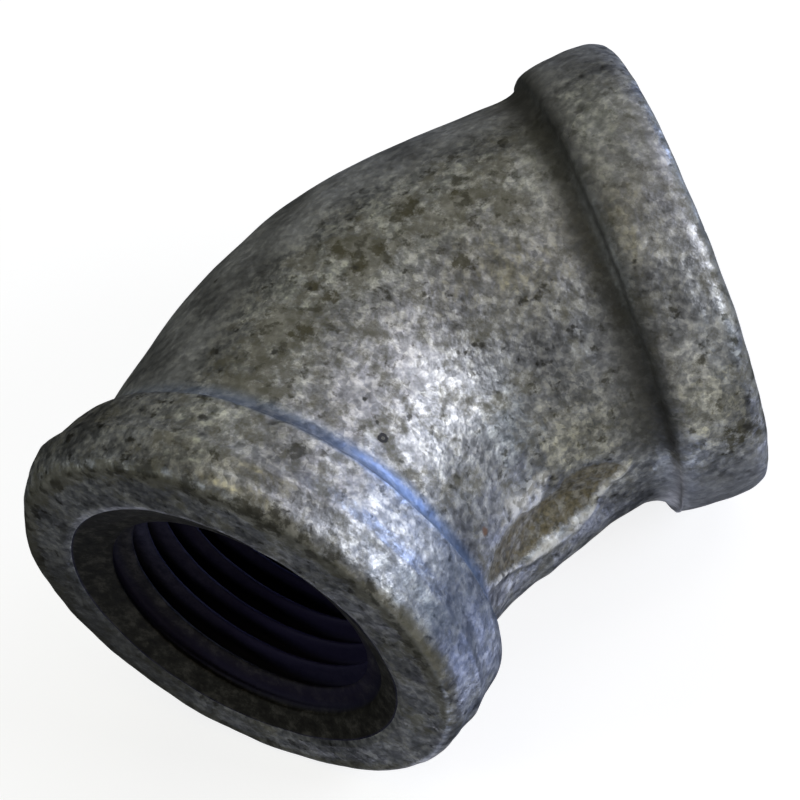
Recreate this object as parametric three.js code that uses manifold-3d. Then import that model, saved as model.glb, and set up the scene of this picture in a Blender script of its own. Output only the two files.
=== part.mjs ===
// 45-degree pipe elbow of malleable cast iron with a banded, taper-threaded socket at each end.
// One casting in real life, so one mesh here. Millimetres, +Z up: the elbow lies on its side,
// so its bend is level. Socket A faces -Y, socket B faces halfway between +X and +Y.
// The origin is under the middle of the casting's box, at the height that it rests on.
import * as THREE from 'three';
import { mergeVertices } from 'three/addons/utils/BufferGeometryUtils.js';
import Module from 'manifold-3d';

// Driving dimensions of the casting
const BEND_ANGLE = Math.PI / 4;
const CENTRE_TO_END = 22.35; // 0.88 in, from the crossing of the two socket axes to an end face
const BEND_TANGENT = 8.35; // the bend starts and ends this far from the crossing
const BODY_RADIUS = 14.85;
const CHAMBER_RADIUS = 11.2; // the cored passage between the two sockets
const BAND_RADIUS = 16.5;
const BAND_WIDTH = 6.3;
const BAND_BACK_RADIUS = 15.9; // where the rounding of the band's back edge meets its back face
const BACK_ROUND = 1.3; // axial length of the rounding at the back edge
const BAND_FILLET = 1.8; // cast fillet between a band's back face and the body
const EDGE_ROUND = 1.7; // axial length of the rounding at the end face
const END_FACE_RADIUS = 15.6; // outer radius of the flat end face

// Socket: 1/2-14 taper pipe thread
const PITCH = 25.4 / 14;
const CREST_RADIUS = 9.25; // minor radius at the end face
const ROOT_RADIUS = 10.5; // major radius at the end face
const TAPER = 1 / 32; // change of radius along the axis
const THREAD_LENGTH = 12.4; // end face to the cored chamber
const RIM_RADIUS = 12.4; // countersink at the end face
const COUNTERSINK_DEPTH = 1.7;
const SHOULDER_LENGTH = 2; // slope from the thread's end out to the chamber wall

// Web of extra metal across the inside of the bend. It is the proud part of a straight round bar
// that lies in the wall, a little to the lower side of the plane of the bend.
const WEB_BAR_RADIUS = 5;
const WEB_BAR_DROP = 4.2; // below the plane of the bend
const WEB_BAR_OFFSET = 9.1; // from each leg's axis, at the bar's ends
const WEB_BAR_REACH = 12; // from the crossing along each leg, to the bar's ends

// Mesh fineness
const SIDES = 48;
const CHAMBER_SIDES = 32;
const WEB_SIDES = 24;
const CURVE_STEPS = 3; // on each rounding of a band
const THREAD_SIDES = 28;
const BEND_STEPS = 12;
const CUT_MARGIN = 2; // how far a cutter runs past the face it cuts

const BEND_RADIUS = BEND_TANGENT / Math.tan(BEND_ANGLE / 2);
const BAND_BACK = CENTRE_TO_END - BAND_WIDTH;
const CHAMBER_END = CENTRE_TO_END - THREAD_LENGTH;

const wasm = await Module();
wasm.setup();

function toSolid(geometry) {
  const bare = geometry.clone();
  bare.deleteAttribute('normal');
  bare.deleteAttribute('uv');
  const merged = mergeVertices(bare);
  return new wasm.Manifold(new wasm.Mesh({
    numProp: 3,
    vertProperties: new Float32Array(merged.attributes.position.array),
    triVerts: new Uint32Array(merged.index.array),
  }));
}

function toGeometry(solid) {
  const { vertProperties, triVerts } = solid.getMesh();
  const geometry = new THREE.BufferGeometry();
  geometry.setAttribute('position', new THREE.BufferAttribute(vertProperties, 3));
  geometry.setIndex(new THREE.BufferAttribute(triVerts, 1));
  geometry.computeVertexNormals();
  return geometry;
}

// The elbow's centre line, which stops at reach, measured from the crossing of the axes along each leg
class CentreLine extends THREE.Curve {
  constructor(reach) {
    super();
    this.straight = reach - BEND_TANGENT;
    this.arc = BEND_RADIUS * BEND_ANGLE;
  }

  getPoint(t, target = new THREE.Vector3()) {
    const along = t * (2 * this.straight + this.arc);
    if (along < this.straight) return target.set(0, along - this.straight - BEND_TANGENT, 0);
    const turned = Math.min((along - this.straight) / BEND_RADIUS, BEND_ANGLE);
    target.set(1 - Math.cos(turned), Math.sin(turned), 0).multiplyScalar(BEND_RADIUS);
    target.y -= BEND_TANGENT;
    const past = along - this.straight - BEND_RADIUS * turned;
    return target.addScaledVector(new THREE.Vector3(Math.sin(turned), Math.cos(turned), 0), past);
  }
}

function roundBar(radius, path, steps, sides) {
  const circle = new THREE.Shape();
  circle.absarc(0, 0, radius, 0, 2 * Math.PI);
  return new THREE.ExtrudeGeometry(circle, {
    steps,
    curveSegments: sides / 2, // a full circle gets twice this many
    extrudePath: path,
  });
}

function bentBar(radius, reach, sides) {
  return toSolid(roundBar(radius, new CentreLine(reach), BEND_STEPS, sides));
}

function innerWeb() {
  const footA = new THREE.Vector3(WEB_BAR_OFFSET, -WEB_BAR_REACH, -WEB_BAR_DROP);
  // The same place on leg B, mirrored across the plane that halves the bend
  const halfway = new THREE.Vector3(Math.sin(BEND_ANGLE / 2), Math.cos(BEND_ANGLE / 2), 0);
  const footB = footA.clone().addScaledVector(halfway, -2 * footA.dot(halfway));
  return roundBar(WEB_BAR_RADIUS, new THREE.LineCurve3(footA, footB), 1, WEB_SIDES);
}

// Each leg is drawn along +Y from the crossing of the axes, then turned about Z to its own side.
function onLeg(geometry, turn) {
  return toSolid(geometry.rotateZ(turn));
}

function bandAndFillet() {
  const profile = new THREE.Path();
  const filletFoot = BODY_RADIUS - 0.1;
  profile.moveTo(0, BAND_BACK - BAND_FILLET);
  profile.lineTo(filletFoot, BAND_BACK - BAND_FILLET);
  profile.quadraticCurveTo(BODY_RADIUS, BAND_BACK, BAND_BACK_RADIUS, BAND_BACK);
  profile.quadraticCurveTo(BAND_RADIUS, BAND_BACK, BAND_RADIUS, BAND_BACK + BACK_ROUND);
  profile.lineTo(BAND_RADIUS, CENTRE_TO_END - EDGE_ROUND);
  profile.quadraticCurveTo(BAND_RADIUS, CENTRE_TO_END, END_FACE_RADIUS, CENTRE_TO_END);
  profile.lineTo(0, CENTRE_TO_END);
  return new THREE.LatheGeometry(profile.getPoints(CURVE_STEPS), SIDES);
}

function countersinkCutter() {
  const mouth = CENTRE_TO_END + CUT_MARGIN;
  const bottom = CENTRE_TO_END - COUNTERSINK_DEPTH;
  const slope = (RIM_RADIUS - CREST_RADIUS) / COUNTERSINK_DEPTH;
  return new THREE.LatheGeometry([
    new THREE.Vector2(0, bottom),
    new THREE.Vector2(CREST_RADIUS, bottom),
    new THREE.Vector2(RIM_RADIUS + slope * CUT_MARGIN, mouth),
    new THREE.Vector2(0, mouth),
  ], SIDES);
}

function shoulderCutter() {
  return new THREE.LatheGeometry([
    new THREE.Vector2(0, CHAMBER_END - SHOULDER_LENGTH),
    new THREE.Vector2(CHAMBER_RADIUS, CHAMBER_END - SHOULDER_LENGTH),
    new THREE.Vector2(CREST_RADIUS, CHAMBER_END),
    new THREE.Vector2(0, CHAMBER_END),
  ], CHAMBER_SIDES);
}

// The right-hand tapered thread as a solid plug. Two points at the root and two at the crest make
// one profile, which is repeated at every step along the helix and joined to the next step's.
function threadPlug() {
  const flat = PITCH / 2 - (ROOT_RADIUS - CREST_RADIUS) * Math.tan(Math.PI / 6);
  const profile = [
    { radius: ROOT_RADIUS, rise: 0 },
    { radius: ROOT_RADIUS, rise: flat },
    { radius: CREST_RADIUS, rise: PITCH / 2 },
    { radius: CREST_RADIUS, rise: PITCH / 2 + flat },
  ];
  const start = CHAMBER_END - SHOULDER_LENGTH - PITCH;
  const turns = Math.ceil((CENTRE_TO_END + CUT_MARGIN - start) / PITCH);
  const lastStep = turns * THREAD_SIDES;
  const lastPoint = profile.length - 1;
  const positions = [];
  for (let step = 0; step <= lastStep; step++) {
    const angle = 2 * Math.PI * step / THREAD_SIDES;
    for (const point of profile) {
      const height = start + PITCH * step / THREAD_SIDES + point.rise;
      const radius = point.radius + (height - CENTRE_TO_END) * TAPER;
      positions.push(radius * Math.cos(angle), height, -radius * Math.sin(angle));
    }
  }
  const triangles = [];
  const at = (step, point) => step * profile.length + point;
  const joinStrip = (a, b, c, d) => triangles.push(a, b, c, a, c, d);
  for (let step = 0; step < lastStep; step++) {
    for (let point = 0; point < lastPoint; point++) {
      joinStrip(at(step, point), at(step + 1, point), at(step + 1, point + 1), at(step, point + 1));
    }
    const above = step + THREAD_SIDES;
    if (above < lastStep) {
      joinStrip(at(step, lastPoint), at(step + 1, lastPoint), at(above + 1, 0), at(above, 0));
    }
  }
  // Each end is closed by a fan round a point on the axis. Its rim is one turn of the helix and the
  // step that this turn leaves.
  const lowRim = [];
  const highRim = [];
  for (let step = 0; step <= THREAD_SIDES; step++) {
    lowRim.unshift(at(step, 0));
    highRim.push(at(lastStep - THREAD_SIDES + step, lastPoint));
  }
  for (let point = 1; point <= lastPoint; point++) {
    lowRim.push(at(0, point));
    highRim.push(at(lastStep, lastPoint - point));
  }
  const rims = [
    { height: start, rim: lowRim },
    { height: start + turns * PITCH, rim: highRim },
  ];
  for (const { height, rim } of rims) {
    const centre = positions.length / 3;
    positions.push(0, height, 0);
    rim.forEach((from, index) => triangles.push(centre, from, rim[(index + 1) % rim.length]));
  }
  const geometry = new THREE.BufferGeometry();
  geometry.setAttribute('position', new THREE.Float32BufferAttribute(positions, 3));
  geometry.setIndex(triangles);
  return geometry;
}

function castingSolid() {
  const legTurns = [Math.PI, -BEND_ANGLE];
  let casting = bentBar(BODY_RADIUS, CENTRE_TO_END - BAND_WIDTH / 2, SIDES).add(toSolid(innerWeb()));
  for (const turn of legTurns) casting = casting.add(onLeg(bandAndFillet(), turn));
  casting = casting.subtract(bentBar(CHAMBER_RADIUS, CHAMBER_END, CHAMBER_SIDES));
  for (const turn of legTurns) {
    for (const cutter of [countersinkCutter, shoulderCutter, threadPlug]) {
      casting = casting.subtract(onLeg(cutter(), turn));
    }
  }
  return casting;
}

// The origin goes under the middle of the casting's box.
function onFloor(geometry) {
  geometry.computeBoundingBox();
  const middle = geometry.boundingBox.getCenter(new THREE.Vector3());
  return geometry.translate(-middle.x, -middle.y, -geometry.boundingBox.min.z);
}

const galvanisedIron = new THREE.MeshStandardMaterial({
  color: 0x77797c,
  roughness: 0.5,
  metalness: 0.85,
});
const casting = new THREE.Mesh(onFloor(toGeometry(castingSolid())), galvanisedIron);
casting.name = 'elbow_casting';

const elbow = new THREE.Group();
elbow.add(casting);

export default elbow;
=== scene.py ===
"""A galvanised 45-degree pipe elbow, threaded inside at both ends, lying on its side on a pale floor.

The casting is one closed mesh made from a grid: its rows run round the elbow, and its columns run
from end A over the outside to end B and back through the passage. Lengths are in millimetres, in a
frame whose origin is the crossing of the two socket axes and whose Z is normal to the bend.

A place on the casting is given by degrees round the section, where 0 faces the inside of the bend and
90 is up, and by along, the place on the centre line, which is negative on end A's side. A named pair
of numbers is where a smooth step starts and ends.
"""
import math

import bpy
import numpy as np
from mathutils import Matrix, Vector


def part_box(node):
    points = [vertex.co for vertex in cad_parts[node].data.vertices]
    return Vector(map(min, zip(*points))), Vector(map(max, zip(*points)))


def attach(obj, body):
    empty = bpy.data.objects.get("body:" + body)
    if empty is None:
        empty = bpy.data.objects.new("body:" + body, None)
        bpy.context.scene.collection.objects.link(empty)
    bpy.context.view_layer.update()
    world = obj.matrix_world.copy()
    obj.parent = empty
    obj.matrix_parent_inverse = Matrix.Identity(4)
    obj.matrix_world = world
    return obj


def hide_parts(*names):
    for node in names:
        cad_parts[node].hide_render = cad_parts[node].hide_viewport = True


MM = 0.001
PIECE = "elbow_casting_skin"
SKIN, BORE = 0, 1

# The casting's driving dimensions
BEND_ANGLE = math.radians(45)
CENTRE_TO_END = 22.35
BEND_TANGENT = 8.35
BODY_RADIUS = 14.85
CHAMBER_RADIUS = 11.2
BAND_RADIUS = 16.5
EDGE_ROUND_ALONG = 1.7
EDGE_ROUND_DEEP = 0.9
RIM_RADIUS = 12.6
RIM_ROUND = 0.15
COUNTERSINK_DEPTH = 1.55
PITCH = 25.4 / 14
CREST_RADIUS = 9.25
ROOT_RADIUS = 10.55
TAPER = 1 / 32
THREAD_LENGTH = 12.4
SHOULDER_LENGTH = 2.0
THREAD_PHASE = -0.5

BEND_RADIUS = BEND_TANGENT / math.tan(BEND_ANGLE / 2)
STRAIGHT = CENTRE_TO_END - BEND_TANGENT
HALF_LENGTH = STRAIGHT + BEND_RADIUS * BEND_ANGLE / 2

# Mesh fineness: the points round the section and on a rounded edge's arc, and the steps between rows
SIDES = 448
ARC_POINTS = 9
SKIN_STEP = 0.24
FACE_STEP = SKIN_STEP * 0.8
ROUND_STEP = SKIN_STEP * 0.6
THREAD_STEP = 0.13
SINK_STEP = THREAD_STEP * 1.3
SHOULDER_STEP = THREAD_STEP * 2
CHAMBER_STEP = 0.6

# The two bands. Lengths run along the leg's axis, depths and crown across it, and inset is how far
# the end face stands back.
BAND_A = dict(width=6.3, crown=0.25, back_round_along=2.2, back_round_deep=0.65, fillet=2.2, inset=0.0)
BAND_B = dict(width=6.5, crown=0.06, back_round_along=2.6, back_round_deep=0.8, fillet=2.4, inset=0.13)

# The bands' back edges: the degrees where each is sharpest, how far from there it turns round, how
# much of the rounding the sharp part loses, and band A's extra width there and how far that reaches
SHARP_A = 15.0
SHARP_B = -45.0
ROUNDED_A = (75, 115)
ROUNDED_B = (8, 32)
SHARPENED = 0.75
WIDER_A = 0.35
WIDER_REACH = 3.0

# The thread: where its crest ends and its root starts in half a turn, and its two ends
CREST_TO_ROOT = (0.06, 0.74)
THREAD_STARTS = (COUNTERSINK_DEPTH * 0.45, COUNTERSINK_DEPTH * 1.1)
THREAD_FADES = (THREAD_LENGTH - 0.5, THREAD_LENGTH + SHOULDER_LENGTH)

# End A's mouth was cut off centre, by this much in the plane of the bend and across it. The shift
# fades towards the passage, and takes in the face's inner part.
MOUTH_A_SIDE = -0.36
MOUTH_A_UP = -0.66
MOUTH_SHIFT_FADES = (1.0, THREAD_LENGTH + SHOULDER_LENGTH)
MOUTH_FACE_SHIFTS = (RIM_RADIUS + RIM_ROUND, BAND_RADIUS - EDGE_ROUND_DEEP)
MOUTH_FACE_DEPTH = 0.5

# The web across the inside of the bend: a straight bar that lies in the wall
WEB_BAR_RADIUS = 4.75
WEB_BAR_DROP = 4.2
WEB_BAR_OFFSET = 9.1
WEB_BAR_REACH = 12.0
WEB_BLEND = 0.9
WEB_START = BAND_A["width"] * 0.6

# Places where the casting swells or sinks: degrees, along, how far it spreads each way, and the height.
# The end faces stay flat.
SWELLINGS = (
    (145, -19.6, 30, 2.8, 0.50),
    (-16, -16.8, 25, 3.2, 0.38),
    (-19, -8.6, 14, 4.0, -0.34),
    (-38, 14.8, 20, 3.0, -0.27),
    (134, -7.0, 55, 6.0, -0.20),
    (128, -0.5, 50, 4.5, -0.13),
    (122, 13.0, 50, 7.0, 0.24),
    (110, 20.2, 50, 4.5, 0.36),
)
SWELL_FROM_FACE = 0.2

# The scar on the web where the casting's gate was broken off. Its edges are in degrees; the bottom
# edge rises and the top edge drops to close it at both ends, and both wander.
SCAR_ALONG = -0.4
SCAR_HALF_LENGTH = 13.2
SCAR_CLOSES = (SCAR_HALF_LENGTH * 0.62, SCAR_HALF_LENGTH)
SCAR_ENDS = (SCAR_HALF_LENGTH * 0.9, SCAR_HALF_LENGTH * 1.02)
SCAR_BOTTOM = -11.0
SCAR_BOTTOM_RISE = 10.0
SCAR_BOTTOM_WANDER = 1.6
SCAR_BOTTOM_SLOPE = (0, 3)
SCAR_TOP = 2.5
SCAR_TOP_RISE = 4.0
SCAR_TOP_RISES = (4.5, 9.5)
SCAR_TOP_DROP = 6.0
SCAR_TOP_DROPS = (10.5, 13.2)
SCAR_TOP_WANDER = 1.2
SCAR_TOP_SLOPE = (-3, 1)
SCAR_DEPTH = 0.10
RUBBLE_HEIGHT = 0.08
FINE_RUBBLE_HEIGHT = 0.06

# The scar's two lips: how far beyond the edge, half width in degrees, height, and how they break up
LOWER_LIP = dict(beyond=0.3, half_width=2.8, height=0.26)
UPPER_LIP = dict(beyond=3.0, half_width=8.5, height=0.16)
UPPER_LIP_STARTS = (-11.5, -9.5)
UPPER_LIP_ENDS = (3, 8)
LIP_WHOLE = 0.7
LIP_BREAKS = 0.9
LIP_MOST = 1.2
LIP_FLOOR = 0.2

# The smooth strip on the outside of the bend, and the faint hollow along its upper edge
STRIP_START = 105.0
STRIP_END = 250.0
STRIP_EDGE = (-2, 6)
STRIP_FADE = 12
STRIP_WANDER = 2.5
STRIP_ON_BODY = (BAND_A["width"] - 0.5, BAND_A["width"] + 1.5)
STRIP_ON_BAND_B = (10, 14)
STRIP_FROM_FACE_B = (0.3, 1.5)
STRIP_RAISED = 0.02
HOLLOW_OFFSET = 2
HOLLOW_HALF_WIDTH = 9
HOLLOW_DEPTH = 0.03

# The calmer upper half of band B, and the smoother underside beside it
CALM_SHARE = 0.45
CALM_FROM = (42, 78)
UNDERSIDE_SHARE = 0.85
UNDERSIDE_WANDER = 4
UNDERSIDE_ALONG = (12.5, 15.0)
UNDERSIDE_FROM_FACE = (0.1, 1.2)
UNDERSIDE_STARTS = (0, 12)
UNDERSIDE_ENDS = (90, 140)

# The dirt beside the smooth strip and along the end faces' outer edges
BELT_MIDDLE = 88
BELT_HALF_WIDTH = 20
EDGE_DIRT = 2.0
EDGE_DIRT_REACH = 1.1
CLEAN_EDGE_MIDDLE = -30
CLEAN_EDGE_HALF_WIDTH = 40

# The painted shade in the crevice behind band B, which reaches further low down, and in the seam behind
# band A
CREVICE_STARTS = (-1.9, 0.3)
CREVICE_FADES_AT = 1.0
CREVICE_REACH = 3.3
CREVICE_EXTRA_REACH = 1.9
CREVICE_NARROWS = (0, 55)
CREVICE_BOTTOM = (-5, 5)
CREVICE_TOP = (130, 175)
SEAM_SHARE = 0.55
SEAM_OFFSET = 0.25
SEAM_HALF_WIDTH = 0.5

# The painted blue reflection in the fillet behind band A, and on the band's right side
REFLECTION_STARTS = (BAND_A["width"] - 0.3, BAND_A["width"] + 0.1)
REFLECTION_ENDS = (BAND_A["width"] + 1.2, BAND_A["width"] + 2.6)
REFLECTION_FADES = (40, 85)
REFLECTION_FADED = 0.6
BLUE_TINT = 0.3
BLUE_MIDDLE = 12
BLUE_HALF_WIDTH = 60
BLUE_FROM_FACE = (0.3, 1.8)

# The part of end A's face that is painted darker as shade
FACE_SHADE_DEPTH = 0.6
FACE_SHADE_MIDDLE = 210
FACE_SHADE_HALF_WIDTH = 88

# How far down the mouth is brown, and where the bore is painted darkest as shade: in a ring at the
# first groove, on the lower side, and deep down
BROWN_ENDS = (COUNTERSINK_DEPTH * 1.5, COUNTERSINK_DEPTH * 2.3)
FIRST_GROOVE = 2.0
FIRST_GROOVE_REACH = 0.8
FIRST_GROOVE_DARK = 0.7
LOWER_DARK_DEPTH = (2.4, 4.4)
LOWER_DARK_SIDE = (190, 250)
DEEP_SHADE_DEPTH = (3.5, 8.0)
DEEP_SHADE = 0.75

# The cast unevenness: the height of each noise, how much calmer the smooth parts are, and how the
# hollows between the grains show as cavities
HEIGHTS = dict(broad=0.15, middle=0.075, small=0.032, fine=0.008)
PASSAGE_HEIGHT = 0.02
SAND_LOSS = 0.7
CAVITY_LEVEL = 0.5
CAVITY_GAIN = 6.0
CAVITY_SMALL = 0.03
CAVITY_FINE = 0.015

# The scattered pits
PIT_SEED = 11
PIT_COUNT = 170
PIT_SIZE = 0.16
PIT_SIZE_SPREAD = 0.34
PIT_RAGGED = 0.55
PIT_STRETCH = 0.6
PIT_REACH = 1.5
PIT_DEPTH = 0.2
PIT_FLOOR = 0.2
PIT_MOST_STRIP = 0.5

# Each noise's seed and wavelength
NOISES = {
    "broad": (1, 9.0),
    "middle": (2, 3.4),
    "small": (3, 1.4),
    "fine": (4, 0.7),
    "scar edge": (21, 2.2),
    "broken lips": (22, 1.0),
    "strip edge": (23, 4.0),
    "pit edge": (24, 0.45),
    "rubble": (25, 1.2),
    "fine rubble": (26, 0.6),
    "underside edge": (27, 2.5),
}

# The marks on the skin: kind, degrees, along and radius
MARKS = (
    ("ring", 53, -12.0, 0.38),
    ("dark", 56, -11.2, 0.18),
    ("dark", 62, -10.4, 0.20),
    ("rust", 14, -11.6, 0.40),
    ("blot", 92, 4.5, 0.95),
    ("blot", 86, -1.0, 0.75),
    ("blot", 93, -0.6, 0.75),
    ("blot", 86, 1.0, 0.75),
    ("blot", 90, -4.1, 0.60),
    ("blot", 85, -4.4, 0.80),
    ("blot", 85, -7.7, 0.80),
    ("blot", 70, 5.5, 0.85),
    ("blot", 90, 8.0, 0.60),
    ("dark", 86, -1.2, 0.28),
    ("dark", 91, -4.2, 0.26),
    ("dark", 88, -9.9, 0.30),
    ("dark", 97, -11.1, 0.26),
    ("dark", 50, 2.2, 0.22),
    ("dark", 125, -5.1, 0.30),
    ("dark", 92, -17.2, 0.42),
    ("blot", 4, 20.3, 1.20),
    ("dark", 4, 20.4, 0.52),
    ("blot", 2, 19.2, 0.90),
    ("chip", 106, -21.75, 0.70),
    ("chip", 99, -21.65, 0.85),
    ("chip", 94, -21.80, 0.70),
    ("chip", 87, -21.75, 0.95),
    ("chip", 82, -21.80, 0.75),
    ("chip", 69, -21.65, 0.70),
    ("chip", 65, -21.55, 0.95),
    ("chip", 58, -21.60, 0.60),
    ("chip", 50, -21.50, 0.70),
    ("chip", 38, -21.60, 0.50),
    ("chip", 69, -17.1, 0.85),
    ("chip", 119, -18.1, 0.70),
)

# How a mark's nearest point is found: the degrees that count as 1 mm, and what keeps it off the bore
DEGREES_PER_MM = 4
OFF_BORE = 100

# How each kind of mark is painted: colour, noise that tears its edge and how much, and how strongly it
# shows at each share of its radius
MARK_KINDS = {
    "ring": ((0.008, 0.008, 0.009), "fine mark", 0.7, ((0.22, 0.0), (0.4, 1.0), (0.8, 1.0), (1.0, 0.0))),
    "rust": ((0.16, 0.078, 0.04), "fine mark", 0.9, ((0.45, 0.85), (1.0, 0.0))),
    "dark": ((0.022, 0.020, 0.013), "fine mark", 1.5, ((0.4, 0.9), (1.0, 0.0))),
    "blot": ((0.050, 0.044, 0.018), "torn mark", 5.5, ((0.3, 0.85), (1.1, 0.0))),
    "chip": ((0.026, 0.024, 0.016), "torn mark", 4.2, ((0.35, 0.80), (0.9, 0.0))),
}

# Even colours; the others are in the ramps
ZINC_SMOOTH = (0.36, 0.365, 0.375)
# Painted blue reflection
REFLECTED_BLUE = (0.22, 0.33, 0.56)
STAIN = (0.098, 0.090, 0.050)
PORE = (0.040, 0.037, 0.024)
CAVITY = (0.03, 0.027, 0.022)
# Painted shade, for the crevices behind the bands and the lower left of end A's face
SHADE_COLOUR = (0.03, 0.029, 0.024)
# Painted shade in the thread's roots
ROOT_SHADE_COLOUR = (0.008, 0.008, 0.022)
# Painted shade down the bore
DEEP_SHADE_COLOUR = (0.013, 0.010, 0.034)
WHITE = (1, 1, 1)

# Each texture's size in millimetres, detail and roughness
TEXTURES = {
    "torn edge": (0.7, 4, 0.65),
    "flakes": (0.70, 2, 0.6),
    "broad tone": (4.5, 5, 0.65),
    "patches": (2.3, 6, 0.74),
    "earth": (0.45, 3, 0.6),
    "spots": (1.0, 3, 0.62),
    "gloss": (0.5, 3, 0.6),
    "grain": (0.40, 2, 0.55),
    "coarse grain": (1.1, 2, 0.5),
    "fine mark": (0.35, 2, 0.55),
    "torn mark": (0.8, 5, 0.7),
    "bore mottle": (0.9, 6, 0.72),
    "bore grain": (0.5, 3, 0.55),
}
SPANGLE_SIZE = 0.50

# Each ramp's stops, as (position, grey or colour)
RAMPS = {
    "scar": ((0.35, 0.0), (0.75, 1.0)),
    "lips": ((0.30, 0.0), (0.75, 1.0)),
    "inside": ((0.05, 0.0), (0.2, 1.0)),
    "zinc": ((0.32, (0.21, 0.215, 0.22)), (0.5, (0.345, 0.35, 0.36)), (0.68, (0.58, 0.58, 0.56))),
    "broad tone": ((0.36, 0.60), (0.64, 1.42)),
    "stain": ((0.49, 0.0), (0.63, 1.0)),
    "bare scar": ((0.38, 0.97), (0.62, 0.68)),
    "earth": ((0.38, (0.070, 0.058, 0.030)), (0.62, (0.19, 0.16, 0.09))),
    "pores": ((0.31, 1.0), (0.40, 0.0)),
    "cavity": ((0.6, 0.0), (0.95, 1.0)),
    "blotches": ((0.36, 0.30), (0.52, 1.0)),
    # A painted highlight on the scar's lips, light where the blotches allow
    "lip_highlight": ((0.36, (0.40, 0.385, 0.34)), (0.54, (0.80, 0.79, 0.75))),
    "bore metal": ((0.38, (0.015, 0.015, 0.035)), (0.62, (0.041, 0.039, 0.070))),
    "bore rust": (
        (0.35, (0.009, 0.008, 0.007)),
        (0.50, (0.019, 0.018, 0.015)),
        (0.66, (0.055, 0.052, 0.045)),
    ),
    # Painted shade in the thread's roots
    "root shade": ((0.45, 0.0), (0.95, 1.0)),
    "floor": ((0.15, 0.8), (0.5, 1.0)),
}

# How strongly each layer shows, and what it does to another
TORN_GAIN = 2.0
TORN_LIPS = 0.8
STRIP_CALM = 0.75
# The grain is calmer where the blue reflection is painted
REFLECTION_CALM = 0.6
SPANGLE_SHARE = 0.20
STRIP_SHARE = 0.6
DIRT_STAINS = 0.11
STAIN_SHARE = 0.74
DIRT_PORES = 0.05
PORE_SHARE = 0.75
CAVITY_SHARE = 0.45
# How strongly the painted blue reflection shows
REFLECTION_SHARE = 0.66
# How strongly the painted shade shows in the crevices
SHADE_SHARE = 0.88
# How strongly the painted shade shows on end A's face
FACE_SHADE_SHARE = 0.82
# How strongly painted shade shows in the thread's roots and down the bore
ROOT_SHADE_SHARE = 0.75
BORE_SHADE_SHARE = 0.88

# Gloss, and relief as (distance in millimetres, strength)
METALLIC = 0.82
METALLIC_LOSS = 0.5
MARK_DULLNESS = 1.4
ROUGHNESS = 0.18
ROUGHNESS_SPREAD = 0.50
DULL_ROUGHNESS = 0.12
STRIP_ROUGHNESS = 0.14
COARSE_BUMP = (0.10, 0.7)
GRAIN_BUMP = (0.05, 0.9)
BORE_ROUGHNESS = 0.58
BORE_ROUGHNESS_SPREAD = 0.2
BORE_SPECULAR = 0.12
BORE_BUMP = (0.08, 0.7)

# The floor: its half side in metres, its paint, and the distance that its ramp runs over
FLOOR_HALF = 3.0
FLOOR_GREY = (0.4, 0.4, 0.4)
FLOOR_ROUGHNESS = 0.9
FLOOR_FADE = 900

# The camera, from the crossing of the axes
CAMERA_AZIMUTH = 40.76
CAMERA_ELEVATION = 49.65
CAMERA_ROLL = -17.47
CAMERA_DISTANCE = 225.95
CAMERA_AIM_RIGHT = 1.003
CAMERA_AIM_UP = -1.728
CAMERA_LENS = 145.87
CAMERA_CLIP = 0.01

# The lights: name, azimuth from +X towards +Y, elevation, watts and colour
LIGHT_DISTANCE = 420
LIGHT_SIZE = 170
LIGHTS = (
    ("key_right", 15, 28, 0.819, (0.91, 0.93, 1.0)),
    ("key_top", 45, 52, 0.252, (0.94, 0.92, 1.0)),
    ("blue_back", 60, 5, 0.96, (0.50, 0.63, 1.0)),
    ("right_side", 0, 5, 0.158, (0.75, 0.87, 1.0)),
    ("front_side", 300, 5, 0.189, (1.0, 0.99, 0.97)),
    ("left_side", 225, 28, 0.41, (0.90, 0.97, 1.0)),
    ("back_top", 90, 52, 0.14, (1.0, 0.99, 0.97)),
    ("left_top", 135, 52, 0.10, (0.98, 1.0, 0.74)),
    ("overhead", 270, 75, 0.122, (1.0, 0.88, 0.46)),
    ("front_low", 315, -20, 0.143, (1.0, 0.95, 0.66)),
    ("blue_under", 22, -45, 0.215, (0.63, 0.70, 1.0)),
    ("front_under", 292, -45, 0.215, (0.63, 0.72, 1.0)),
    ("under", 180, -72, 0.126, (0.81, 0.83, 1.0)),
)


# ------------ noise and small helpers

def smooth(value, low, high):
    """0 below low, 1 above high, and a smooth step between."""
    t = np.clip((value - low) / (high - low), 0, 1)
    return t * t * (3 - 2 * t)


def bump(value, middle, half_width):
    """1 at middle, falling smoothly to 0 at half_width from it."""
    return 1 - smooth(np.abs(value - middle), 0, half_width)


class Noise:
    """Gradient noise on a repeating lattice, between about -1 and 1."""

    SIZE = 32
    GAIN = 1.6

    def __init__(self, seed):
        draw = np.random.default_rng(seed)
        gradients = draw.normal(size=(self.SIZE, self.SIZE, self.SIZE, 3))
        self.gradients = gradients / np.linalg.norm(gradients, axis=-1, keepdims=True)

    def __call__(self, points, wavelength):
        scaled = points / wavelength
        cell = np.floor(scaled).astype(int)
        inside = scaled - cell
        fade = inside ** 3 * (inside * (inside * 6 - 15) + 10)
        total = np.zeros(len(points))
        for corner in np.ndindex(2, 2, 2):
            lattice = (cell + corner) % self.SIZE
            gradient = self.gradients[lattice[:, 0], lattice[:, 1], lattice[:, 2]]
            weight = np.prod(np.where(corner, fade, 1 - fade), axis=1)
            total += weight * np.einsum("ij,ij->i", gradient, inside - corner)
        return self.GAIN * total


def noise(name, points):
    """The noise of that name in the table, at the points."""
    seed, wavelength = NOISES[name]
    return Noise(seed)(points, wavelength)


# ------------ the casting's grid

def arc(centre, radii, start, end):
    """Points on a quarter of an ellipse, as (distance from the end face, radius)."""
    angles = np.radians(np.linspace(start, end, ARC_POINTS))
    return [(centre[0] + radii[0] * math.cos(a), centre[1] + radii[1] * math.sin(a)) for a in angles]


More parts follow.
